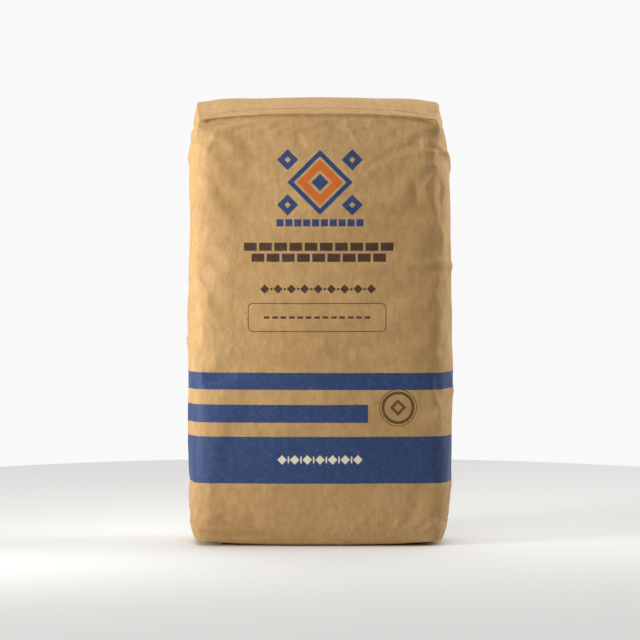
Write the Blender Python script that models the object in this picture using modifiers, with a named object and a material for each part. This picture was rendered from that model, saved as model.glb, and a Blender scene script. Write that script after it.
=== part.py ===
"""A 50 kg cement bag: a pasted valve sack of kraft paper, filled, standing on its bottom end.

Units are metres and +Z is up. The origin is the middle of the footprint, on the floor. The printed
face looks along -Y, and the filling valve is at the top of the +X side.
"""

import bmesh
import bpy
from mathutils import Vector

# Paper and the clearance between neighbouring pieces
PAPER_THICKNESS = 0.0006  # three plies with paste between them
PATCH_THICKNESS = 0.0005  # one heavier ply
GAP = 0.0003
SACK_BASE = PATCH_THICKNESS + GAP  # the sack stands on its bottom patch

# Loops of the body from the bottom end up: height, half width and half depth at the corner folds,
# then how far the cement pushes the two faces and the two sides out between those folds
BODY_LOOPS = (
    (0.024, 0.188, 0.062, 0.010, 0.014),
    (0.110, 0.191, 0.067, 0.014, 0.018),
    (0.260, 0.190, 0.067, 0.014, 0.017),
    (0.420, 0.189, 0.064, 0.013, 0.016),
    (0.560, 0.189, 0.060, 0.010, 0.014),
    (0.633, 0.186, 0.056, 0.006, 0.012),
)

# Bottom end, which the weight presses flat
BOTTOM_HALF_WIDTH = 0.183
BOTTOM_HALF_DEPTH = 0.055
BOTTOM_EDGE_LIFT = 0.002
BOTTOM_CORNER_LIFT = 0.004
BOTTOM_BELLY = 0.010

# Top end, which slopes down to the printed face and is domed by the cement under it
TOP_HALF_WIDTH = 0.178
TOP_HALF_DEPTH = 0.056
TOP_FRONT_FOLD = 0.657
TOP_BACK_FOLD = 0.674
TOP_FRONT_CORNER_DROP = 0.010
TOP_BACK_CORNER_DROP = 0.003
TOP_SIDE_RISE = 0.012
TOP_DOME = 0.689
END_FACE_SWELL = 0.003
END_SIDE_SWELL = 0.008

# Cells of the cage across the width, as shares of the half width
WIDTH_STATIONS = (-0.6, 0.0, 0.6)
CAGE_LEVELS = 2
TOP_FOLD_CREASE = 1.0
BOTTOM_FOLD_CREASE = 0.7

# The cover patches pasted over the ends: the bottom one only reaches as far as the flattened part
PATCH_HALF_WIDTH = 0.043
TOP_PATCH_HALF_LENGTH = 0.162
BOTTOM_PATCH_HALF_LENGTH = 0.150

# The filling valve: a paper sleeve pressed flat, which comes out under the top fold of the +X side
SLEEVE_HALF_WIDTH = 0.042
SLEEVE_INNER_END = 0.112
SLEEVE_DEPTH = 0.0035  # from the outside of the end down to the middle of the sleeve
SLEEVE_THICKNESS = 0.0009
SLEEVE_REACH = 0.004  # past the fold of the end
CUTTER_REACH = 0.030

KRAFT_BROWN = (0.52, 0.35, 0.17, 1.0)
PATCH_BROWN = (0.56, 0.39, 0.20, 1.0)
VALVE_BROWN = (0.62, 0.48, 0.30, 1.0)
CEMENT_GREY = (0.36, 0.36, 0.34, 1.0)


def clear_scene():
    for old in list(bpy.data.objects):
        bpy.data.objects.remove(old)


def new_collection(name):
    collection = bpy.data.collections.new(name)
    bpy.context.scene.collection.children.link(collection)
    return collection


def material(name, colour, roughness):
    made = bpy.data.materials.new(name)
    made.use_nodes = True
    shader = made.node_tree.nodes["Principled BSDF"]
    shader.inputs["Base Color"].default_value = colour
    shader.inputs["Roughness"].default_value = roughness
    shader.inputs["Metallic"].default_value = 0.0
    made.diffuse_color = colour
    return made


def add_object(name, mesh, collection, finish=None):
    made = bpy.data.objects.new(name, mesh)
    collection.objects.link(made)
    if finish:
        mesh.materials.append(finish)
    return made


def mark_as_guide(guide):
    guide.hide_render = True
    guide.display_type = "WIRE"


def evaluated_mesh(source):
    """The mesh of an object with its modifiers applied, as a new mesh."""
    graph = bpy.context.evaluated_depsgraph_get()
    return bpy.data.meshes.new_from_object(source.evaluated_get(graph))


def swollen(across, through, half_width, half_depth, face_swell, side_swell):
    """A point of a level section, from its place in the brick: -1 to 1 across and through."""
    x = across * (half_width + side_swell * (1.0 - through**2))
    y = through * (half_depth + face_swell * (1.0 - across**2))
    return x, y


def bottom_point(across, through):
    x, y = swollen(
        across, through, BOTTOM_HALF_WIDTH, BOTTOM_HALF_DEPTH, END_FACE_SWELL, END_SIDE_SWELL
    )
    edge = max(abs(across), abs(through))
    if edge < 1.0:
        return Vector((x, y, -BOTTOM_BELLY))
    return Vector((x, y, BOTTOM_EDGE_LIFT + BOTTOM_CORNER_LIFT * abs(across) ** 3))


def top_point(across, through):
    x, y = swollen(
        across, through, TOP_HALF_WIDTH, TOP_HALF_DEPTH, END_FACE_SWELL, END_SIDE_SWELL
    )
    back = (through + 1.0) / 2.0
    front_fold = TOP_FRONT_FOLD - TOP_FRONT_CORNER_DROP * abs(across) ** 3
    back_fold = TOP_BACK_FOLD - TOP_BACK_CORNER_DROP * abs(across) ** 3
    middle = (TOP_FRONT_FOLD + TOP_BACK_FOLD) / 2.0
    rise = TOP_SIDE_RISE if abs(across) == 1.0 else TOP_DOME - middle
    return Vector((x, y, front_fold + (back_fold - front_fold) * back + rise * (1.0 - through**2)))


def cage_point(place):
    """Where the fill pushes a corner of the brick's cells. The brick's height counts loops."""
    across, through, loop = round(place.x, 4), round(place.y, 4), round(place.z)
    if loop == 0:
        return bottom_point(across, through)
    if loop == len(BODY_LOOPS) + 1:
        return top_point(across, through)
    height, *section = BODY_LOOPS[loop - 1]
    return Vector((*swollen(across, through, *section), height))


def crease_end_folds(cage):
    """The pasted ends keep a crisp fold all round. The bottom one is rounded by the load."""
    layer = cage.edges.layers.float.new("crease_edge")
    top_loop = len(BODY_LOOPS) + 1
    for edge in cage.edges:
        first, second = (vertex.co for vertex in edge.verts)
        level = round(first.z)
        if level != round(second.z) or level not in (0, top_loop):
            continue
        on_side = abs(first.x) == 1.0 and first.x == second.x
        on_face = abs(first.y) == 1.0 and first.y == second.y
        if on_side or on_face:
            edge[layer] = TOP_FOLD_CREASE if level else BOTTOM_FOLD_CREASE


def sack_cage(collection):
    """A coarse brick of cells, pushed out to the filled shape and smoothed."""
    cage = bmesh.new()
    bmesh.ops.create_cube(cage, size=2.0)
    top_loop = len(BODY_LOOPS) + 1
    for vertex in cage.verts:
        vertex.co.z = 0.0 if vertex.co.z < 0.0 else float(top_loop)
    cuts = [((share, 0.0, 0.0), (1.0, 0.0, 0.0)) for share in WIDTH_STATIONS]
    cuts.append(((0.0, 0.0, 0.0), (0.0, 1.0, 0.0)))
    cuts += [((0.0, 0.0, loop), (0.0, 0.0, 1.0)) for loop in range(1, top_loop)]
    for point, normal in cuts:
        every = cage.verts[:] + cage.edges[:] + cage.faces[:]
        bmesh.ops.bisect_plane(cage, geom=every, plane_co=point, plane_no=normal)
    crease_end_folds(cage)
    for vertex in cage.verts:
        vertex.co = cage_point(vertex.co)
    mesh = bpy.data.meshes.new("sack_cage")
    cage.to_mesh(mesh)
    cage.free()
    guide = add_object("sack_cage", mesh, collection)
    mark_as_guide(guide)
    smooth = guide.modifiers.new("Filled shape", "SUBSURF")
    smooth.levels = CAGE_LEVELS
    smooth.render_levels = CAGE_LEVELS
    return guide


def outer_skin(guide):
    """The outside of the paper, standing on its flattened bottom end."""
    skin = evaluated_mesh(guide)
    skin.name = "outer_skin"
    for vertex in skin.vertices:
        vertex.co.z = max(vertex.co.z, 0.0) + SACK_BASE
    return skin


def top_faces(skin, wanted):
    """A copy of those faces of the skin's top end whose middles are wanted."""
    shape = bmesh.new()
    shape.from_mesh(skin)
    unwanted = []
    for face in shape.faces:
        if face.normal.z < 0.5 or not wanted(face.calc_center_median()):
            unwanted.append(face)
    bmesh.ops.delete(shape, geom=unwanted, context="FACES")
    return shape


def valve_layer(name, skin, margin, reach):
    """The sleeve's layer: a piece of the top end's surface, lowered and led out past the fold."""
    shape = top_faces(skin, lambda c: c.x > SLEEVE_INNER_END and abs(c.y) < SLEEVE_HALF_WIDTH)
    half_width = max(abs(vertex.co.y) for vertex in shape.verts)
    fold = [e for e in shape.edges if e.is_boundary and min(v.co.x for v in e.verts) > TOP_HALF_WIDTH]
    led_out = bmesh.ops.extrude_edge_only(shape, edges=fold)["geom"]
    for vertex in led_out:
        if isinstance(vertex, bmesh.types.BMVert):
            vertex.co.x += reach
    for vertex in shape.verts:
        vertex.co.y *= (SLEEVE_HALF_WIDTH + margin) / half_width
        vertex.co.z -= SLEEVE_DEPTH
        if vertex.co.x < SLEEVE_INNER_END:
            vertex.co.x -= margin
    mesh = bpy.data.meshes.new(name)
    shape.to_mesh(mesh)
    shape.free()
    return mesh


def thicken(sheet, thickness, offset):
    wall = sheet.modifiers.new("Thickness", "SOLIDIFY")
    wall.thickness = thickness
    wall.offset = offset
    wall.use_even_offset = True


def cut_away(target, cutter):
    cut = target.modifiers.new("Valve slot", "BOOLEAN")
    cut.operation = "DIFFERENCE"
    cut.object = cutter


def valve_cutter(skin, collection):
    """The sleeve's space, which is open to the outside."""
    layer = valve_layer("valve_cutter", skin, GAP, CUTTER_REACH)
    cutter = add_object("valve_cutter", layer, collection)
    thicken(cutter, SLEEVE_THICKNESS + 2.0 * GAP, 0.0)
    mark_as_guide(cutter)
    return cutter


def paper_sack(skin, cutter, parts, finish):
    """The pasted tube with its folded ends, as a paper wall round the cement."""
    sack = add_object("paper_sack", skin.copy(), parts, finish)
    thicken(sack, PAPER_THICKNESS, -1.0)
    cut_away(sack, cutter)
    sack.data.shade_smooth()


def cement_fill(skin, cutter, parts, finish):
    """The cement, which takes the shape of the sack and lies round the valve sleeve."""
    fill = add_object("cement_fill", skin.copy(), parts, finish)
    inset = fill.modifiers.new("Inside the paper", "DISPLACE")
    inset.mid_level = 0.0
    inset.strength = -(PAPER_THICKNESS + GAP)
    cut_away(fill, cutter)
    fill.data.shade_smooth()


def valve_sleeve(skin, parts, finish):
    """Two layers of paper that the cement presses into one flat strip."""
    layer = valve_layer("valve_sleeve", skin, 0.0, SLEEVE_REACH)
    sleeve = add_object("valve_sleeve", layer, parts, finish)
    thicken(sleeve, SLEEVE_THICKNESS, 0.0)


def top_cover_patch(skin, parts, finish):
    """The heavier ply pasted over the folds of the top end, which follows the dome."""
    shape = top_faces(
        skin, lambda c: abs(c.x) < TOP_PATCH_HALF_LENGTH and abs(c.y) < PATCH_HALF_WIDTH
    )
    for vertex in shape.verts:
        vertex.co.z += GAP
    mesh = bpy.data.meshes.new("top_cover_patch")
    shape.to_mesh(mesh)
    shape.free()
    patch = add_object("top_cover_patch", mesh, parts, finish)
    thicken(patch, PATCH_THICKNESS, 1.0)


def bottom_cover_patch(parts, finish):
    """The same ply over the bottom end, pressed flat between the bag and the floor."""
    shape = bmesh.new()
    bmesh.ops.create_cube(shape, size=2.0)
    size = Vector((BOTTOM_PATCH_HALF_LENGTH, PATCH_HALF_WIDTH, PATCH_THICKNESS / 2.0))
    for vertex in shape.verts:
        vertex.co = Vector(c * half for c, half in zip(vertex.co, size))
        vertex.co.z += size.z
    mesh = bpy.data.meshes.new("bottom_cover_patch")
    shape.to_mesh(mesh)
    shape.free()
    add_object("bottom_cover_patch", mesh, parts, finish)


def main():
    clear_scene()
    parts = new_collection("cement_bag")
    guides = new_collection("guides_and_cutters")
    kraft = material("kraft_paper", KRAFT_BROWN, 0.72)
    patch_paper = material("patch_paper", PATCH_BROWN, 0.70)
    valve_paper = material("valve_paper", VALVE_BROWN, 0.65)
    cement = material("cement_powder", CEMENT_GREY, 0.95)

    skin = outer_skin(sack_cage(guides))
    cutter = valve_cutter(skin, guides)
    paper_sack(skin, cutter, parts, kraft)
    cement_fill(skin, cutter, parts, cement)
    valve_sleeve(skin, parts, valve_paper)
    top_cover_patch(skin, parts, patch_paper)
    bottom_cover_patch(parts, patch_paper)


main()
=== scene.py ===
import math

import bpy
import numpy as np
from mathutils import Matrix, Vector, noise


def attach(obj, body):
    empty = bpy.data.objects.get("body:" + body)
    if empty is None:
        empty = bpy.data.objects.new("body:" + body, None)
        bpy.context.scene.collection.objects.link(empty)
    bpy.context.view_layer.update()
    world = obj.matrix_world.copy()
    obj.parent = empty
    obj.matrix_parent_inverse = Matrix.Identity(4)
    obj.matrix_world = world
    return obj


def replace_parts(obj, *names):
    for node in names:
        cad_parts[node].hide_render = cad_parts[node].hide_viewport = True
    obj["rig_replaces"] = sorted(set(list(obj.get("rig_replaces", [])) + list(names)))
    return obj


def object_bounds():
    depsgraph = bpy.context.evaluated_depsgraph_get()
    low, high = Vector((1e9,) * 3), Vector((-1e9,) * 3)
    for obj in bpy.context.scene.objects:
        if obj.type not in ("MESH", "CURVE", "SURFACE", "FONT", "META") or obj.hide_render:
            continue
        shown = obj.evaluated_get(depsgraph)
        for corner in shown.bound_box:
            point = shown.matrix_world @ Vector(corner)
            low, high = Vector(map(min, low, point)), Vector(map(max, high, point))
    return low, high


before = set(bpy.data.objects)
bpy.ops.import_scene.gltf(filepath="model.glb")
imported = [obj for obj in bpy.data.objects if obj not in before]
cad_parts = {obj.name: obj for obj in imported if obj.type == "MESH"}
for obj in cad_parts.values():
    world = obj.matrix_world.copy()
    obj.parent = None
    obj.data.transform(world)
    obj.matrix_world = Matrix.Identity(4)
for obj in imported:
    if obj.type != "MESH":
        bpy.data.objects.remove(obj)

cad_low, cad_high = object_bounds()

# The camera stands square to the printed face and a little above the bag's middle. Its long lens
# keeps the sides almost parallel, and the bag fills as much of the frame as in the photograph.
METRES_PER_PIXEL = 0.001535
CAMERA_DISTANCE = 4.2
CAMERA_ELEVATION = math.radians(3.0)
bag_middle = Vector((0.0, 0.0, (cad_low.z + cad_high.z) / 2.0))
backwards = Vector((0.0, -math.cos(CAMERA_ELEVATION), math.sin(CAMERA_ELEVATION)))
bpy.ops.object.camera_add(location=bag_middle + backwards * CAMERA_DISTANCE)
camera = bpy.context.object
camera.rotation_euler = (-backwards).to_track_quat("-Z", "Y").to_euler()
camera.data.sensor_width = 36.0
camera.data.lens = 36.0 * CAMERA_DISTANCE / (640 * METRES_PER_PIXEL)
bpy.context.scene.camera = camera


# The paper sack, in its filled shape: a tube of kraft paper plies, both ends folded square and
# pasted. It begins as a brick of cells that the cement swells: for each loop from the bottom up,
# the height, half width and half depth at the corner folds, and the swell of faces and sides.
BODY_LOOPS = (
    (0.024, 0.188, 0.062, 0.010, 0.014),
    (0.110, 0.191, 0.067, 0.014, 0.018),
    (0.260, 0.190, 0.067, 0.014, 0.017),
    (0.420, 0.189, 0.064, 0.013, 0.016),
    (0.560, 0.189, 0.060, 0.010, 0.014),
    (0.633, 0.186, 0.056, 0.006, 0.012),
)
TOP_LOOP = len(BODY_LOOPS) + 1
PLY_UNDER_SACK = 0.0008  # the bottom patch and its paste
BRICK_CUTS = [((across, 0.0, 0.0), (1.0, 0.0, 0.0)) for across in (-0.6, 0.0, 0.6)]
BRICK_CUTS += [((0.0, 0.0, 0.0), (0.0, 1.0, 0.0))]
BRICK_CUTS += [((0.0, 0.0, loop), (0.0, 0.0, 1.0)) for loop in range(1, TOP_LOOP)]


def filled_place(across, through, loop):
    """Where the fill pushes a corner of the brick's cells."""
    if loop == 0:
        height, half_width, half_depth, face_swell, side_swell = -0.010, 0.183, 0.055, 0.003, 0.008
        if max(abs(across), abs(through)) == 1.0:
            height = 0.002 + 0.004 * abs(across) ** 3
    elif loop == TOP_LOOP:
        half_width, half_depth, face_swell, side_swell = 0.178, 0.056, 0.003, 0.008
        front_fold = 0.657 - 0.010 * abs(across) ** 3
        back_fold = 0.674 - 0.003 * abs(across) ** 3
        dome = 0.012 if abs(across) == 1.0 else 0.0235
        height = front_fold + (back_fold - front_fold) * (through + 1.0) / 2.0
        height += dome * (1.0 - through**2)
    else:
        height, half_width, half_depth, face_swell, side_swell = BODY_LOOPS[loop - 1]
    return Vector((
        across * (half_width + side_swell * (1.0 - through**2)),
        through * (half_depth + face_swell * (1.0 - across**2)),
        height,
    ))


def fold_sharpness(first, second):
    """How sharp the paper is folded along an edge of the brick."""
    level = round(first.z) == round(second.z)
    on_side = abs(first.x) == 1.0 and first.x == second.x
    on_face = abs(first.y) == 1.0 and first.y == second.y
    if level and (on_side or on_face):
        return {0: 0.7, TOP_LOOP: 1.0}.get(round(first.z), 0.0)
    if on_side and on_face:
        return 0.75 if max(first.z, second.z) == TOP_LOOP else 0.35
    return 0.0


bpy.ops.object.select_all(action="DESELECT")
bpy.ops.mesh.primitive_cube_add(size=2.0)
sack = bpy.context.object
sack.name = "kraft_sack"
for corner in sack.data.vertices:
    corner.co.z = 0.0 if corner.co.z < 0.0 else TOP_LOOP
bpy.ops.object.mode_set(mode="EDIT")
for point, normal in BRICK_CUTS:
    bpy.ops.mesh.select_all(action="SELECT")
    bpy.ops.mesh.bisect(plane_co=point, plane_no=normal)
bpy.ops.object.mode_set(mode="OBJECT")
folds = sack.data.attributes.new("crease_edge", "FLOAT", "EDGE")
for edge in sack.data.edges:
    first, second = (sack.data.vertices[i].co.copy() for i in edge.vertices)
    folds.data[edge.index].value = fold_sharpness(first, second)
for corner in sack.data.vertices:
    across, through, loop = round(corner.co.x, 4), round(corner.co.y, 4), round(corner.co.z)
    corner.co = filled_place(across, through, loop)
smooth = sack.modifiers.new("Filled shape", "SUBSURF")
smooth.levels = smooth.render_levels = 4
bpy.ops.object.modifier_apply(modifier=smooth.name)


def read_points(mesh):
    points = np.zeros(len(mesh.vertices) * 3)
    mesh.vertices.foreach_get("co", points)
    return points.reshape(-1, 3)


def write_points(mesh, points):
    mesh.vertices.foreach_set("co", points.astype(np.float32).ravel())
    mesh.update()


def read_normals(mesh):
    normals = np.zeros(len(mesh.vertices) * 3)
    mesh.vertex_normals.foreach_get("vector", normals)
    return normals.reshape(-1, 3)


def ramp(values, low, high):
    """0 below low, 1 above high, and smooth between."""
    share = np.clip((values - low) / (high - low), 0.0, 1.0)
    return share * share * (3.0 - 2.0 * share)


smooth_paper = read_points(sack.data)
smooth_paper[:, 2] = np.maximum(smooth_paper[:, 2], 0.0) + PLY_UNDER_SACK
# The valve's top corner is pulled in by the sleeve, the far side's corners stand squarer, and the
# ends of the dome stand almost as high as its middle.
top_corner = ramp(smooth_paper[:, 2], 0.54, 0.67)
bottom_corner = 1.0 - ramp(smooth_paper[:, 2], 0.02, 0.10)
far_side = ramp(-smooth_paper[:, 0], 0.10, 0.18)
smooth_paper[:, 0] -= 0.0030 * top_corner * ramp(smooth_paper[:, 0], 0.10, 0.18)
smooth_paper[:, 0] -= (0.0045 * top_corner + 0.0040 * bottom_corner) * far_side
smooth_paper[:, 2] += (0.0045 * ramp(smooth_paper[:, 2], 0.655, 0.672)
                       * ramp(np.abs(smooth_paper[:, 0]), 0.08, 0.16))
write_points(sack.data, smooth_paper)

# The print is laid out on the flat paper before it wrinkles: u runs round the tube from the
# middle of the front, and v is the height. The two folded ends are mapped well clear of the tube.
HALF_FACE = 0.190
SIDE_WIDTH = 0.135
SEAM_EDGE = 0.015  # the free edge of the tube's seam, across the back
paper_map = sack.data.uv_layers[0]
paper_map.name = "paper"
for face in sack.data.polygons:
    middle = face.center
    wall = abs(face.normal.z) < 0.6
    for corner in face.loop_indices:
        x, y, z = smooth_paper[sack.data.loops[corner].vertex_index]
        if not wall:
            uv = (x, 2.0 + y) if middle.z > 0.3 else (x, -2.0 - y)
        elif abs(face.normal.x) > abs(face.normal.y):
            side = 1.0 if middle.x > 0.0 else -1.0
            uv = (side * (HALF_FACE + y + SIDE_WIDTH / 2.0), z)
        elif face.normal.y < 0.0:
            uv = (x, z)
        else:
            side = 1.0 if middle.x > SEAM_EDGE else -1.0
            uv = (side * (2.0 * HALF_FACE + SIDE_WIDTH) - x, z)
        paper_map.data[corner].uv = uv

# Paper doesn't stretch, so where the fill is slack it buckles. The simulation gives the sack a
# little more paper than the shape needs, and the cement behind it holds the paper in place.
SPARE_PAPER = 0.005
FILL_PRESSURE = 0.4
MOST_BUCKLE = 0.008
BUCKLE_GAIN = 1.15


def cement_hold(points):
    """How firmly the cement and the pasted folds hold each point of the paper."""
    heights = points[:, 2]
    face_middle = 1.0 - ramp(np.abs(points[:, 0]), 0.09, 0.15)
    hold = 0.04 + 0.16 * face_middle + 0.10 * (1.0 - ramp(heights, 0.05, 0.25))
    hold = np.maximum(hold, 1.0 - ramp(heights, 0.002, 0.045))
    return np.maximum(hold, 0.85 * ramp(heights, 0.640, 0.658))


def buckled(points):
    """The points of the sack's paper after the simulation."""
    holders = sack.vertex_groups.new(name="held")
    for index, hold in enumerate(cement_hold(points)):
        holders.add([index], float(hold), "REPLACE")
    cloth = sack.modifiers.new("Paper", "CLOTH")
    paper = cloth.settings
    paper.quality = 6
    paper.mass = 0.001
    paper.tension_stiffness = paper.compression_stiffness = 60.0
    paper.shear_stiffness = 30.0
    paper.bending_model = "ANGULAR"
    paper.bending_stiffness = 1.5
    paper.bending_damping = 0.5
    paper.air_damping = 2.0
    paper.vertex_group_mass = "held"
    paper.pin_stiffness = 1.0
    paper.shrink_min = -SPARE_PAPER
    paper.use_pressure = True
    paper.uniform_pressure_force = FILL_PRESSURE
    paper.effector_weights.gravity = 0.0
    cloth.collision_settings.use_collision = False
    cloth.point_cache.frame_end = 24
    for step in range(1, 21):
        bpy.context.scene.frame_set(step)
    seen = sack.evaluated_get(bpy.context.evaluated_depsgraph_get())
    result = read_points(seen.to_mesh())
    seen.to_mesh_clear()
    sack.modifiers.remove(cloth)
    bpy.context.scene.frame_set(1)
    return result


def overall_swell(mesh, amounts):
    """The broad part of a push along the normals: each point averaged with its surroundings."""
    ends = np.zeros(len(mesh.edges) * 2, dtype=np.int32)
    mesh.edges.foreach_get("vertices", ends)
    one, other = ends.reshape(-1, 2).T
    number = len(mesh.vertices)
    neighbours = np.bincount(one, minlength=number) + np.bincount(other, minlength=number)
    for _ in range(60):
        total = np.bincount(one, amounts[other], number) + np.bincount(other, amounts[one], number)
        amounts = total / neighbours
    return amounts


started = np.array([0.0004 * noise.noise(Vector(p) * 20.0) for p in smooth_paper])
outwards = read_normals(sack.data)
write_points(sack.data, smooth_paper + outwards * started[:, None])
moved = buckled(smooth_paper) - smooth_paper
# The fill keeps the sack's overall shape, so only the buckles are kept from the push outwards.
swell = overall_swell(sack.data, (moved * outwards).sum(axis=1))
moved = BUCKLE_GAIN * (moved - outwards * swell[:, None])
reach = np.linalg.norm(moved, axis=1, keepdims=True)
moved *= MOST_BUCKLE * np.tanh(reach / MOST_BUCKLE) / np.maximum(reach, 1e-9)
write_points(sack.data, smooth_paper + moved)
bpy.ops.object.duplicate()
cement = bpy.context.object
cement.name = "cement"
bpy.ops.object.select_all(action="DESELECT")
sack.select_set(True)
bpy.context.view_layer.objects.active = sack
finer = sack.modifiers.new("Finer paper", "SUBSURF")
finer.levels = finer.render_levels = 1
bpy.ops.object.modifier_apply(modifier=finer.name)
# What the bottom ply hides is flat, so there it is one face.
for face in sack.data.polygons:
    face.select = (face.center.z < 0.0012 and abs(face.center.x) < 0.146
                   and abs(face.center.y) < 0.040)
bpy.ops.object.mode_set(mode="EDIT")
bpy.ops.mesh.select_mode(type="FACE")
bpy.ops.mesh.dissolve_faces()
bpy.ops.object.mode_set(mode="OBJECT")
bpy.ops.object.shade_smooth()

# The pasted ends are stiff, so the paper draws in just under the top fold and leaves the fold as a
# lip along the front and the back.
sack_points = read_points(sack.data)
sack_normals = read_normals(sack.data)
across, through, height = sack_points.T
front_fold = 0.6562 - 0.010 * (np.abs(across) / 0.18) ** 3
back_fold = 0.6748 - 0.003 * (np.abs(across) / 0.18) ** 3
under_fold = front_fold + (back_fold - front_fold) * (through / 0.112 + 0.5) - height
on_wall = 1.0 - ramp(np.abs(sack_normals[:, 2]), 0.35, 0.6)
on_face = ramp(np.abs(sack_normals[:, 1]), 0.5, 0.8) * (1.0 - ramp(np.abs(across), 0.164, 0.177))
lip = ramp(under_fold, 0.0, 0.0018) * (1.0 - ramp(under_fold, 0.0018, 0.0100))
sack_points -= sack_normals * (0.0032 * lip * on_wall * on_face)[:, None]

# The seam stands up along its free edge, where the plies' edges lie on each other.
seam = ramp(across, SEAM_EDGE + 0.0025, SEAM_EDGE) * ramp(across, -0.022, -0.010)
on_back = ramp(sack_normals[:, 1], 0.5, 0.8) * ramp(under_fold, 0.004, 0.012)
sack_points += sack_normals * (0.0011 * seam * on_back)[:, None]

# Handling has left a few sharp creases and dents. Each has its wall, its two ends in metres across
# that wall and up it, its height (a dent is negative) and its half width.
WALLS = {
    "front": (-sack_normals[:, 1], across), "back": (sack_normals[:, 1], across),
    "valve": (sack_normals[:, 0], through), "far": (-sack_normals[:, 0], through),
}
for wall, start, end, rise, half_width in (
    ("front", (0.066, 0.557), (0.092, 0.584), 0.0014, 0.0070),
    ("front", (0.092, 0.584), (0.106, 0.566), 0.0012, 0.0060),
    ("front", (0.128, 0.603), (0.190, 0.596), 0.0018, 0.0060),
    ("front", (0.122, 0.590), (0.185, 0.584), -0.0018, 0.0070),
    ("front", (0.143, 0.560), (0.146, 0.522), -0.0026, 0.0150),
    ("front", (0.156, 0.545), (0.184, 0.575), 0.0020, 0.0080),
    ("front", (0.181, 0.600), (0.185, 0.470), -0.0024, 0.0100),
    ("front", (0.118, 0.428), (0.200, 0.434), 0.0019, 0.0065),
    ("front", (0.130, 0.416), (0.200, 0.420), -0.0016, 0.0080),
    ("front", (0.184, 0.310), (0.187, 0.292), -0.0030, 0.0120),
    ("front", (0.040, 0.640), (0.060, 0.606), 0.0008, 0.0060),
    ("front", (-0.196, 0.029), (-0.085, 0.026), 0.0018, 0.0060),
    ("front", (-0.190, 0.018), (-0.070, 0.016), -0.0016, 0.0060),
    ("front", (0.155, 0.026), (0.198, 0.046), 0.0018, 0.0065),
    ("front", (0.120, 0.016), (0.185, 0.019), -0.0016, 0.0060),
    ("front", (-0.150, 0.640), (-0.176, 0.590), 0.0012, 0.0060),
    ("back", (-0.190, 0.600), (-0.110, 0.560), 0.0022, 0.0080),
    ("back", (-0.180, 0.585), (-0.120, 0.548), -0.0016, 0.0080),
    ("back", (0.200, 0.470), (0.120, 0.500), 0.0020, 0.0070),
    ("back", (0.060, 0.640), (0.100, 0.575), 0.0014, 0.0070),
    ("back", (0.190, 0.060), (0.110, 0.028), 0.0020, 0.0070),
    ("back", (-0.195, 0.230), (-0.150, 0.250), 0.0018, 0.0070),
    ("back", (-0.060, 0.320), (0.010, 0.345), 0.0016, 0.0080),
    ("back", (-0.190, 0.545), (-0.090, 0.520), 0.0026, 0.0090),
    ("back", (0.190, 0.615), (0.105, 0.590), 0.0024, 0.0080),
    ("back", (0.185, 0.590), (0.110, 0.572), -0.0022, 0.0090),
    ("back", (0.165, 0.430), (0.172, 0.300), -0.0026, 0.0130),
    ("back", (-0.160, 0.430), (-0.150, 0.300), 0.0022, 0.0120),
    ("back", (0.030, 0.150), (0.110, 0.172), 0.0014, 0.0080),
    ("back", (-0.190, 0.032), (-0.090, 0.050), 0.0018, 0.0080),
    ("valve", (-0.058, 0.612), (0.010, 0.562), 0.0034, 0.0085),
    ("valve", (0.056, 0.604), (0.008, 0.560), 0.0030, 0.0080),
    ("valve", (-0.060, 0.430), (0.030, 0.418), 0.0024, 0.0080),
    ("valve", (-0.026, 0.545), (-0.036, 0.360), 0.0024, 0.0120),
    ("valve", (0.030, 0.330), (0.040, 0.170), -0.0024, 0.0130),
    ("valve", (-0.050, 0.225), (0.046, 0.246), 0.0016, 0.0080),
    ("valve", (-0.052, 0.052), (-0.008, 0.100), 0.0022, 0.0090),
    ("valve", (0.050, 0.048), (0.012, 0.094), 0.0018, 0.0090),
    ("far", (-0.056, 0.628), (0.000, 0.576), 0.0034, 0.0085),
    ("far", (0.056, 0.622), (0.004, 0.578), 0.0030, 0.0080),
    ("far", (0.022, 0.530), (0.032, 0.380), -0.0026, 0.0130),
    ("far", (-0.060, 0.300), (0.050, 0.318), 0.0024, 0.0080),
    ("far", (-0.034, 0.250), (-0.026, 0.120), 0.0022, 0.0120),
    ("far", (-0.052, 0.048), (-0.006, 0.096), 0.0020, 0.0090),
    ("far", (0.052, 0.046), (0.010, 0.090), 0.0020, 0.0090),
):
    facing, along = WALLS[wall]
    run = np.subtract(end, start)
    from_start = np.stack([along, height], axis=1) - start
    share = np.clip(from_start @ run / (run @ run), 0.0, 1.0)
    distance = np.linalg.norm(from_start - share[:, None] * run, axis=1)
    tent = np.maximum(1.0 - distance / half_width, 0.0) * ramp(facing, 0.15, 0.5)
    fade = ramp(share, -0.02, 0.3) * (1.0 - ramp(share, 0.7, 1.02))
    sack_points += sack_normals * (rise * tent * (0.25 + 0.75 * fade))[:, None]
write_points(sack.data, sack_points)


# Kraft paper, unbleached and machine glazed on one side: long spruce fibres laid mostly along the
# machine, so it is a little cloudy, with a few darker specks of bark and a dull, even sheen.
def linear(hex_colour):
    """An sRGB hex colour as the linear colour that Blender's sockets take."""
    channels = [int(hex_colour[i:i + 2], 16) / 255.0 for i in (1, 3, 5)]
    return [c / 12.92 if c <= 0.04045 else ((c + 0.055) / 1.055) ** 2.4 for c in channels] + [1.0]


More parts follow.
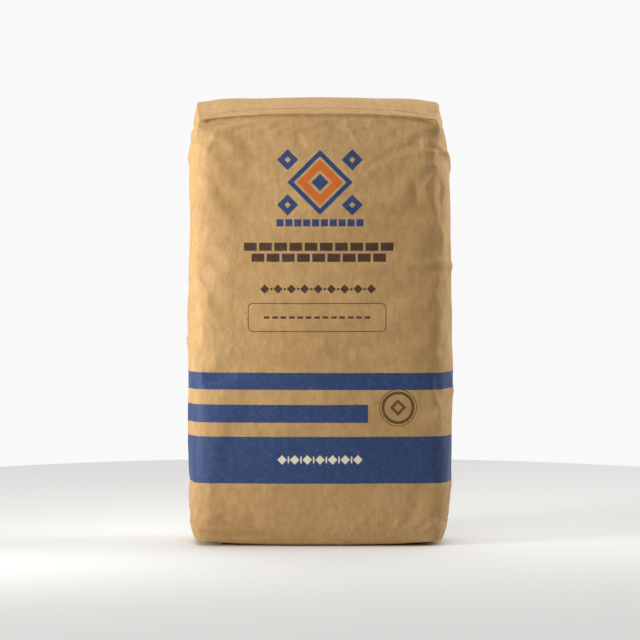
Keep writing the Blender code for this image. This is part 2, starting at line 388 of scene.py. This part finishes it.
def add_node(material, kind, inputs=None, stops=(), **settings):
    """Adds a node with its settings, its colour stops, and its inputs linked or set."""
    node = material.node_tree.nodes.new(kind)
    for name, value in settings.items():
        setattr(node, name, value)
    for index, (place, hex_colour) in enumerate(stops):
        if index > 1:
            node.color_ramp.elements.new(place)
        node.color_ramp.elements[index].position = place
        node.color_ramp.elements[index].color = linear(hex_colour)
    for name, value in (inputs or {}).items():
        if isinstance(value, bpy.types.NodeSocket):
            material.node_tree.links.new(value, node.inputs[name])
        else:
            node.inputs[name].default_value = value
    return node


def paper_surface(name, light, middle, dark, crumple):
    """A new paper material, with its shader, colour, bump, fibres, and place on the piece."""
    material = bpy.data.materials.new(name)
    material.use_nodes = True
    shader = material.node_tree.nodes["Principled BSDF"]
    place = add_node(material, "ShaderNodeTexCoord").outputs["Object"]
    laid = add_node(material, "ShaderNodeMapping", {0: place, 3: (1.0, 1.0, 0.45)}).outputs[0]
    # The fibres are 0.03 mm wide and 3 mm long. They are drawn 1 mm wide so that they show.
    fibres = add_node(material, "ShaderNodeTexNoise", {
        "Vector": laid, "Scale": 900.0, "Detail": 3.0, "Roughness": 0.7}).outputs[0]
    # Fibres flock as the sheet forms, in clouds 6 to 12 mm across.
    cloud = add_node(material, "ShaderNodeTexNoise", {
        "Vector": laid, "Scale": 110.0, "Detail": 4.0, "Roughness": 0.6}).outputs[0]
    # Handling and dust shade the paper over a hand's width.
    handled = add_node(material, "ShaderNodeTexNoise", {
        "Vector": place, "Scale": 9.0, "Detail": 4.0, "Roughness": 0.55}).outputs[0]
    # Specks of bark are about 1 mm across, a few to a hand's width.
    specks = add_node(material, "ShaderNodeTexNoise", {
        "Vector": laid, "Scale": 480.0, "Detail": 1.0, "Roughness": 0.5}).outputs[0]
    colour = add_node(material, "ShaderNodeValToRGB", {0: cloud}, stops=(
        (0.30, dark), (0.50, middle), (0.72, light))).outputs[0]
    for share, value, stops in (
        (0.55, fibres, ((0.30, "#C9C0B4"), (0.70, "#FFFFFF"))),
        (0.80, handled, ((0.32, "#EBE4D9"), (0.66, "#FFFFFF"))),
        (0.40, specks, ((0.225, "#6B4A2A"), (0.275, "#FFFFFF"))),
    ):
        shade = add_node(material, "ShaderNodeValToRGB", {0: value}, stops=stops).outputs[0]
        colour = add_node(material, "ShaderNodeMix", {0: share, 6: colour, 7: shade},
                          data_type="RGBA", blend_type="MULTIPLY").outputs[2]
    # Creases that were pressed flat again run in straight lines, 20 to 40 mm apart, where the
    # sack was held.
    bend = add_node(material, "ShaderNodeTexNoise", {"Vector": place, "Scale": 14.0, "Detail": 2.0})
    wander = add_node(material, "ShaderNodeMix", {0: 0.05, 4: place, 5: bend.outputs["Color"]},
                      data_type="VECTOR").outputs[1]
    facets = add_node(material, "ShaderNodeTexVoronoi", {"Vector": wander, "Scale": 30.0},
                      feature="DISTANCE_TO_EDGE").outputs["Distance"]
    ridges = add_node(material, "ShaderNodeMapRange", {
        0: facets, 1: 0.0, 2: 0.09, 3: 1.0, 4: 0.0}).outputs[0]
    held = add_node(material, "ShaderNodeMapRange", {0: handled, 1: 0.44, 2: 0.62}).outputs[0]
    creases = add_node(material, "ShaderNodeMath", {0: ridges, 1: held},
                       operation="MULTIPLY").outputs[0]
    soft = add_node(material, "ShaderNodeTexNoise", {
        "Vector": place, "Scale": 38.0, "Detail": 3.0, "Roughness": 0.5}).outputs[0]
    bump = None
    for strength, depth, relief in (
        (1.0, crumple, soft), (0.6, crumple * 0.3, creases), (0.35, 0.00015, fibres),
    ):
        inputs = {"Strength": strength, "Distance": depth, "Height": relief}
        if bump:
            inputs["Normal"] = bump
        bump = add_node(material, "ShaderNodeBump", inputs).outputs[0]
    shader.inputs["Roughness"].default_value = 0.72
    shader.inputs["Specular IOR Level"].default_value = 0.35
    shader.inputs["Sheen Weight"].default_value = 0.03
    shader.inputs["Sheen Roughness"].default_value = 0.6
    material.node_tree.links.new(colour, shader.inputs["Base Color"])
    material.node_tree.links.new(bump, shader.inputs["Normal"])
    return material, shader, colour, bump, fibres, place


kraft, kraft_shader, kraft_colour, kraft_bump, kraft_fibres, _ = paper_surface(
    "unbleached_kraft_paper", "#C9A571", "#C19C68", "#B8925D", 0.0012)

# The print is flexo, in water-based inks that soak in: the rollers lay the ink a little unevenly,
# its edge creeps half a millimetre along the fibres, and it stays almost as dull as the paper. It
# holds plain bands and ornament only. Its places and sizes are metres on the sheet.
sheet = add_node(kraft, "ShaderNodeUVMap", uv_map="paper").outputs[0]
creep = add_node(kraft, "ShaderNodeTexNoise", {
    "Vector": sheet, "Scale": 260.0, "Detail": 2.0}).outputs["Color"]
creep = add_node(kraft, "ShaderNodeVectorMath", {0: creep, 1: (0.5, 0.5, 0.5)},
                 operation="SUBTRACT").outputs[0]
printed_sheet = add_node(kraft, "ShaderNodeVectorMath", {
    0: creep, 1: (0.0010, 0.0010, 0.0), 2: sheet}, operation="MULTIPLY_ADD").outputs[0]
INK_EDGE = 0.0003


def figure(shape, centre, half, line=0.0, corner=0.0, pitch=0.0, count=1):
    """Ink in a block, a lozenge or a round; in its outline, if line is given; or in a row."""
    whole = add_node(kraft, "ShaderNodeVectorMath", {0: printed_sheet, 1: (*centre, 0.0)},
                     operation="SUBTRACT").outputs[0]
    place = whole
    if pitch:
        shift = pitch / 2.0 if count % 2 == 0 else 0.0
        place = add_node(kraft, "ShaderNodeVectorMath", {
            0: place, 1: (pitch / 2.0 + shift, 9.0, 9.0), 2: (shift - pitch / 2.0, -9.0, -9.0)},
            operation="WRAP").outputs[0]
        place = add_node(kraft, "ShaderNodeVectorMath", {0: place, 1: (shift, 0.0, 0.0)},
                         operation="SUBTRACT").outputs[0]
    if shape == "round":
        beyond = add_node(kraft, "ShaderNodeVectorMath", {0: place}, operation="LENGTH").outputs[1]
        edge = half[0]
    elif shape == "lozenge":
        place = add_node(kraft, "ShaderNodeVectorMath", {0: place}, operation="ABSOLUTE").outputs[0]
        slope = math.hypot(*half)
        beyond = add_node(kraft, "ShaderNodeVectorMath", {
            0: place, 1: (half[1] / slope, half[0] / slope, 0.0)},
            operation="DOT_PRODUCT").outputs[1]
        edge = half[0] * half[1] / slope
    else:
        place = add_node(kraft, "ShaderNodeVectorMath", {0: place}, operation="ABSOLUTE").outputs[0]
        place = add_node(kraft, "ShaderNodeVectorMath", {
            0: place, 1: (half[0] - corner, half[1] - corner, 0.0)},
            operation="SUBTRACT").outputs[0]
        outside = add_node(kraft, "ShaderNodeVectorMath", {0: place, 1: (0.0, 0.0, 0.0)},
                           operation="MAXIMUM").outputs[0]
        outside = add_node(kraft, "ShaderNodeVectorMath", {0: outside},
                           operation="LENGTH").outputs[1]
        sides = add_node(kraft, "ShaderNodeSeparateXYZ", {0: place}).outputs
        inside = add_node(kraft, "ShaderNodeMath", {0: sides[0], 1: sides[1]},
                          operation="MAXIMUM").outputs[0]
        inside = add_node(kraft, "ShaderNodeMath", {0: inside, 1: 0.0},
                          operation="MINIMUM").outputs[0]
        beyond = add_node(kraft, "ShaderNodeMath", {0: outside, 1: inside}).outputs[0]
        edge = corner
    if line:
        beyond = add_node(kraft, "ShaderNodeMath", {0: beyond, 1: edge - line / 2.0},
                          operation="SUBTRACT").outputs[0]
        beyond = add_node(kraft, "ShaderNodeMath", {0: beyond}, operation="ABSOLUTE").outputs[0]
        edge = line / 2.0
    ink = add_node(kraft, "ShaderNodeMapRange", {
        0: beyond, 1: edge - INK_EDGE, 2: edge + INK_EDGE, 3: 1.0, 4: 0.0}).outputs[0]
    if pitch:
        along = add_node(kraft, "ShaderNodeSeparateXYZ", {0: whole}).outputs[0]
        in_row = add_node(kraft, "ShaderNodeMath", {0: along, 1: 0.0, 2: pitch * count / 2.0},
                          operation="COMPARE").outputs[0]
        ink = add_node(kraft, "ShaderNodeMath", {0: ink, 1: in_row},
                       operation="MULTIPLY").outputs[0]
    return ink


def plate(*figures):
    """All the figures that are printed in one colour."""
    ink = figures[0]
    for another in figures[1:]:
        ink = add_node(kraft, "ShaderNodeMath", {0: ink, 1: another},
                       operation="MAXIMUM").outputs[0]
    return ink


# Three blue bands run round the tube, and the middle one stops short of the round mark. The crest
# is a large lozenge with a smaller one at each corner, over a course of tiles.
blue = plate(
    figure("block", (0.0, 0.2526), (1.0, 0.0129)),
    figure("block", (-0.4638, 0.2035), (0.5362, 0.0136)),
    figure("block", (0.0, 0.1332), (1.0, 0.0355)),
    figure("lozenge", (0.0, 0.5525), (0.0490, 0.0490), line=0.0068),
    figure("lozenge", (0.0, 0.5525), (0.0130, 0.0130)),
    *(figure("lozenge", (side * 0.0485, 0.5525 + up * 0.0340), (0.0160, 0.0160), line=0.0080)
      for side in (-1.0, 1.0) for up in (-1.0, 1.0)),
    figure("block", (0.0, 0.4915), (0.0054, 0.0054), pitch=0.0133, count=10),
)
orange = figure("lozenge", (0.0, 0.5525), (0.0345, 0.0345), line=0.0110)
# Two courses of bricks, a row of lozenges and dots, and a row of dashes in a rounded box.
brown = plate(
    figure("block", (-0.002, 0.4555), (0.0096, 0.0062), pitch=0.0228, count=10),
    figure("block", (-0.002, 0.4390), (0.0096, 0.0062), pitch=0.0228, count=9),
    figure("lozenge", (-0.003, 0.392), (0.0070, 0.0070), pitch=0.0200, count=9),
    figure("block", (-0.003, 0.392), (0.0017, 0.0017), pitch=0.0200, count=8),
    figure("block", (-0.0045, 0.3492), (0.1040, 0.0217), line=0.0012, corner=0.0080),
    figure("block", (-0.0045, 0.3492), (0.0042, 0.0017), pitch=0.0126, count=13),
)
mark = plate(
    figure("round", (0.1176, 0.2127), (0.0285, 0.0285), line=0.0013),
    figure("round", (0.1176, 0.2127), (0.0250, 0.0250), line=0.0046),
    figure("lozenge", (0.1176, 0.2127), (0.0125, 0.0125), line=0.0040),
)
pale = plate(
    figure("lozenge", (0.0, 0.1340), (0.0072, 0.0072), pitch=0.0190, count=7),
    figure("block", (0.0, 0.1340), (0.0011, 0.0050), pitch=0.0190, count=6),
)
# The ink covers less where the roller skipped, and where a fibre stands up.
rolled = add_node(kraft, "ShaderNodeTexNoise", {
    "Vector": sheet, "Scale": 130.0, "Detail": 5.0, "Roughness": 0.75}).outputs[0]
coverage = add_node(kraft, "ShaderNodeMapRange", {
    0: rolled, 1: 0.30, 2: 0.52, 3: 0.90, 4: 0.99}).outputs[0]
bare_fibres = add_node(kraft, "ShaderNodeMapRange", {
    0: kraft_fibres, 1: 0.62, 2: 0.74, 3: 1.0, 4: 0.80}).outputs[0]
coverage = add_node(kraft, "ShaderNodeMath", {0: coverage, 1: bare_fibres},
                    operation="MULTIPLY").outputs[0]
colour = kraft_colour
for ink, hex_colour in (
    (blue, "#1C3A68"), (orange, "#C4621A"), (brown, "#40291A"), (mark, "#5A4420"),
    (pale, "#DDD2BA"),
):
    share = add_node(kraft, "ShaderNodeMath", {0: ink, 1: coverage},
                     operation="MULTIPLY").outputs[0]
    colour = add_node(kraft, "ShaderNodeMix", {0: share, 6: colour, 7: linear(hex_colour)},
                      data_type="RGBA").outputs[2]
all_ink = plate(blue, orange, brown, mark)
roughness = add_node(kraft, "ShaderNodeMapRange", {0: all_ink, 3: 0.72, 4: 0.58}).outputs[0]

# The tube's pasted seam runs up the middle of the back, 30 mm wide, with the outer edge a sharp
# step. On the folded ends the corner flaps show their edges as a step along each diagonal.
on_sheet = add_node(kraft, "ShaderNodeSeparateXYZ", {0: sheet}).outputs
round_tube = add_node(kraft, "ShaderNodeMath", {0: on_sheet[0], 1: 1.03, 2: 0.0},
                      operation="WRAP").outputs[0]
seam_edge = add_node(kraft, "ShaderNodeMapRange", {
    0: round_tube, 1: 0.4997, 2: 0.5003}).outputs[0]
seam_back = add_node(kraft, "ShaderNodeMapRange", {
    0: round_tube, 1: 0.5290, 2: 0.5360, 3: 1.0, 4: 0.0}).outputs[0]
seam = add_node(kraft, "ShaderNodeMath", {0: seam_edge, 1: seam_back},
                operation="MULTIPLY").outputs[0]
end_place = add_node(kraft, "ShaderNodeVectorMath", {0: sheet}, operation="ABSOLUTE").outputs[0]
end_place = add_node(kraft, "ShaderNodeVectorMath", {0: end_place, 1: (0.0, 2.0, 0.0)},
                     operation="SUBTRACT").outputs[0]
end_place = add_node(kraft, "ShaderNodeVectorMath", {0: end_place}, operation="ABSOLUTE").outputs[0]
diagonal = add_node(kraft, "ShaderNodeVectorMath", {0: end_place, 1: (1.0, -1.0, 0.0)},
                    operation="DOT_PRODUCT").outputs[1]
flap = add_node(kraft, "ShaderNodeMapRange", {
    0: diagonal, 1: 0.1245, 2: 0.1253, 3: 1.0, 4: 0.0}).outputs[0]
steps = add_node(kraft, "ShaderNodeMath", {0: seam, 1: flap}).outputs[0]
stepped = add_node(kraft, "ShaderNodeBump", {
    "Strength": 1.0, "Distance": 0.0008, "Height": steps, "Normal": kraft_bump}).outputs[0]
for socket, value in (("Base Color", colour), ("Roughness", roughness), ("Normal", stepped)):
    kraft.node_tree.links.new(value, kraft_shader.inputs[socket])
sack.data.materials.append(kraft)
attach(sack, "root")
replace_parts(sack, "paper_sack")


# The valve sleeve: a tube of lighter paper, pressed flat, that is pasted under the top end's flaps
# at one corner. Its mouth ends at the fold of the narrow side, a few millimetres open.
SLEEVE_HALF_WIDTH = 0.042
SLEEVE_INNER_END = 0.108
SLEEVE_DEPTH = 0.0052


def flat_tube(name, half_width, half_height, inner_end, proud, closed):
    """A flattened tube under the top end, along its slope and dome, that ends at the side fold."""
    bpy.ops.object.select_all(action="DESELECT")
    bpy.ops.mesh.primitive_cylinder_add(
        vertices=48, radius=1.0, depth=1.0, end_fill_type="NGON" if closed else "NOTHING",
        rotation=(0.0, math.pi / 2.0, 0.0))
    tube = bpy.context.object
    tube.name = name
    bpy.ops.object.transform_apply(location=True, rotation=True, scale=True)
    bpy.ops.object.mode_set(mode="EDIT")
    for cut in np.linspace(-0.5, 0.5, 15)[1:-1]:
        bpy.ops.mesh.select_all(action="SELECT")
        bpy.ops.mesh.bisect(plane_co=(cut, 0.0, 0.0), plane_no=(1.0, 0.0, 0.0))
    bpy.ops.object.mode_set(mode="OBJECT")
    for point in tube.data.vertices:
        y = half_width * point.co.y
        under_fold = sack.ray_cast(Vector((0.174, y, 1.0)), Vector((0.0, 0.0, -1.0)))[1]
        fold = sack.ray_cast(
            Vector((0.3, y, under_fold.z - SLEEVE_DEPTH)), Vector((-1.0, 0.0, 0.0)))[1]
        x = inner_end + (fold.x + proud - inner_end) * (point.co.x + 0.5)
        surface = sack.ray_cast(Vector((min(x, 0.174), y, 1.0)), Vector((0.0, 0.0, -1.0)))[1]
        flat = math.copysign(abs(point.co.z) ** 0.6, point.co.z)
        point.co = (x, y, surface.z - SLEEVE_DEPTH + half_height * flat)
    return tube


mouth = flat_tube("valve_mouth", SLEEVE_HALF_WIDTH + 0.002, 0.0031, 0.140, 0.030, True)
sleeve = flat_tube(
    "valve_sleeve_paper", SLEEVE_HALF_WIDTH, 0.0019, SLEEVE_INNER_END, 0.0010, False)
wall = sleeve.modifiers.new("Paper wall", "SOLIDIFY")
wall.thickness = 0.0004
wall.offset = -1.0
bpy.ops.object.modifier_apply(modifier=wall.name)
bpy.ops.object.shade_smooth()
sleeve_paper = paper_surface("semi_bleached_kraft_paper", "#CFBB98", "#C6B08A", "#B9A17A", 0.0008)[0]
sleeve.data.materials.append(sleeve_paper)
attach(sleeve, "root")
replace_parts(sleeve, "valve_sleeve")


# The cover ply: one heavier strip of kraft pasted over the top end's folds. It is cut from the
# sack's own top surface, so it follows every hollow of it, and stands out by its thickness.
COVER_HALF_LENGTH = 0.1635
COVER_HALF_WIDTH = 0.0445
bpy.ops.object.select_all(action="DESELECT")
sack.select_set(True)
bpy.context.view_layer.objects.active = sack
bpy.ops.object.duplicate()
cover = bpy.context.object
cover.name = "top_cover_ply"
del cover["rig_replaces"]  # the copy stands for the cover ply only
for face in cover.data.polygons:
    face.select = face.normal.z < 0.35 or face.center.z < 0.6
bpy.ops.object.mode_set(mode="EDIT")
bpy.ops.mesh.delete(type="FACE")
for edge, outwards_across in (
    ((COVER_HALF_LENGTH, 0.0, 0.0), (1.0, 0.0, 0.0)),
    ((-COVER_HALF_LENGTH, 0.0, 0.0), (-1.0, 0.0, 0.0)),
    ((0.0, COVER_HALF_WIDTH, 0.0), (0.0, 1.0, 0.0)),
    ((0.0, -COVER_HALF_WIDTH, 0.0), (0.0, -1.0, 0.0)),
):
    bpy.ops.mesh.select_all(action="SELECT")
    bpy.ops.mesh.bisect(plane_co=edge, plane_no=outwards_across, clear_outer=True)
bpy.ops.object.mode_set(mode="OBJECT")
ply = cover.modifiers.new("Ply", "SOLIDIFY")
ply.thickness = 0.0004
ply.offset = 1.0
bpy.ops.object.modifier_apply(modifier=ply.name)
bpy.ops.object.shade_smooth_by_angle(angle=math.radians(40.0))
cover_paper, cover_shader, _, cover_bump, _, cover_place = paper_surface(
    "heavy_kraft_paper", "#CDA873", "#C59F69", "#BC955E", 0.0010)
# The edges of the flaps beneath press through it as low steps.
under_cover = add_node(cover_paper, "ShaderNodeVectorMath", {0: cover_place},
                       operation="ABSOLUTE").outputs[0]
corner_flap = add_node(cover_paper, "ShaderNodeVectorMath", {0: under_cover, 1: (1.0, -1.0, 0.0)},
                       operation="DOT_PRODUCT").outputs[1]
corner_flap = add_node(cover_paper, "ShaderNodeMapRange", {
    0: corner_flap, 1: 0.1240, 2: 0.1258, 3: 1.0, 4: 0.0}).outputs[0]
long_flap = add_node(cover_paper, "ShaderNodeSeparateXYZ", {0: cover_place}).outputs[1]
long_flap = add_node(cover_paper, "ShaderNodeMapRange", {
    0: long_flap, 1: 0.0112, 2: 0.0130, 3: 1.0, 4: 0.0}).outputs[0]
pressed = add_node(cover_paper, "ShaderNodeMath", {0: corner_flap, 1: long_flap, 2: long_flap},
                   operation="MULTIPLY_ADD").outputs[0]
pressed = add_node(cover_paper, "ShaderNodeBump", {
    "Strength": 0.8, "Distance": 0.0005, "Height": pressed, "Normal": cover_bump}).outputs[0]
cover_paper.node_tree.links.new(pressed, cover_shader.inputs["Normal"])
cover.data.materials.clear()
cover.data.materials.append(cover_paper)
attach(cover, "root")
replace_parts(cover, "top_cover_patch")

# The cover is cut, so now the valve's mouth opens in the sack under its end.
bpy.ops.object.select_all(action="DESELECT")
sack.select_set(True)
bpy.context.view_layer.objects.active = sack
opening = sack.modifiers.new("Valve mouth", "BOOLEAN")
opening.object = mouth
opening.operation = "DIFFERENCE"
bpy.ops.object.modifier_apply(modifier=opening.name)
bpy.data.objects.remove(mouth)

# The bottom's cover ply is pressed flat by the load, so its CAD sheet stays, in the same paper.
bottom_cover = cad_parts["bottom_cover_patch"]
bottom_cover.data.materials.clear()
bottom_cover.data.materials.append(cover_paper)


# The cement: grey powder, ground finer than flour and packed by its own weight, so it takes the
# sack's shape. It is all inside the paper, and shows only if the sack is opened.
cement.data.materials.clear()
# It is drawn 8 mm smaller all round, clear of the sleeve and of the deepest dents in the paper.
write_points(cement.data, read_points(cement.data) * (0.955, 0.90, 0.975) + (0.0, 0.0, 0.0085))
powder = bpy.data.materials.new("portland_cement_powder")
powder.use_nodes = True
powder_shader = powder.node_tree.nodes["Principled BSDF"]
powder_shader.inputs["Roughness"].default_value = 0.95
powder_place = add_node(powder, "ShaderNodeTexCoord").outputs["Object"]
# Pressed powder breaks in soft clods, 5 to 10 mm across.
clods = add_node(powder, "ShaderNodeTexNoise", {
    "Vector": powder_place, "Scale": 120.0, "Detail": 6.0, "Roughness": 0.7}).outputs[0]
powder_colour = add_node(powder, "ShaderNodeValToRGB", {0: clods}, stops=(
    (0.3, "#7E7D78"), (0.7, "#A5A39D"))).outputs[0]
powder_bump = add_node(powder, "ShaderNodeBump", {
    "Strength": 0.6, "Distance": 0.001, "Height": clods}).outputs[0]
powder.node_tree.links.new(powder_colour, powder_shader.inputs["Base Color"])
powder.node_tree.links.new(powder_bump, powder_shader.inputs["Normal"])
cement.data.materials.append(powder)
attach(cement, "root")
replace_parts(cement, "cement_fill")


# The studio: a round pale floor in a white tent that glows most overhead and behind, with a gridded
# strip softbox close on the left, one high in front, and one on the right that lifts that side.
bpy.ops.object.select_all(action="DESELECT")
bpy.ops.mesh.primitive_circle_add(vertices=128, radius=1.25, fill_type="NGON")
floor = bpy.context.object
floor.name = "studio_floor"
floor_paint = bpy.data.materials.new("matt_white_floor")
floor_paint.use_nodes = True
floor_shader = floor_paint.node_tree.nodes["Principled BSDF"]
floor_shader.inputs["Base Color"].default_value = linear("#F2F2F0")
floor_shader.inputs["Roughness"].default_value = 0.9
floor.data.materials.append(floor_paint)
tent = bpy.data.worlds.new("white_tent")
tent.use_nodes = True
direction = add_node(tent, "ShaderNodeTexCoord").outputs["Generated"]
direction = add_node(tent, "ShaderNodeSeparateXYZ", {0: direction}).outputs
behind = add_node(tent, "ShaderNodeMapRange", {
    0: direction[1], 1: -0.1, 2: 0.7, 3: 0.03, 4: 0.80}).outputs[0]
overhead = add_node(tent, "ShaderNodeMapRange", {
    0: direction[2], 1: 0.5, 2: 1.0, 3: 0.0, 4: 1.20}).outputs[0]
glow = add_node(tent, "ShaderNodeMath", {0: behind, 1: overhead}).outputs[0]
seen = add_node(tent, "ShaderNodeLightPath").outputs["Is Camera Ray"]
brightness = add_node(tent, "ShaderNodeMix", {0: seen, 2: glow, 3: 0.95}).outputs[0]
tent_light = tent.node_tree.nodes["Background"]
tent_light.inputs["Color"].default_value = (1.0, 1.0, 1.0, 1.0)
tent.node_tree.links.new(brightness, tent_light.inputs["Strength"])
bpy.context.scene.world = tent
for name, place, aimed_at, width, length, power, spread in (
    ("strip_softbox", (-1.15, -0.55, 0.62), (0.0, 0.0, 0.56), 0.4, 1.1, 4.1, 60.0),
    ("high_softbox", (-0.30, -0.90, 1.90), (0.0, 0.0, 0.60), 0.8, 0.8, 0.6, 60.0),
    ("fill_softbox", (1.70, 0.15, 1.10), (0.0, 0.0, 0.60), 0.7, 0.7, 2.6, 50.0),
):
    bpy.ops.object.light_add(type="AREA", location=place)
    lamp = bpy.context.object
    lamp.name = name
    lamp.data.shape = "RECTANGLE"
    lamp.data.size = width
    lamp.data.size_y = length
    lamp.data.energy = power
    lamp.data.spread = math.radians(spread)
    aim = Vector(aimed_at) - lamp.location
    lamp.rotation_euler = aim.to_track_quat("-Z", "Y").to_euler()
bpy.context.scene.view_settings.view_transform = "Standard"
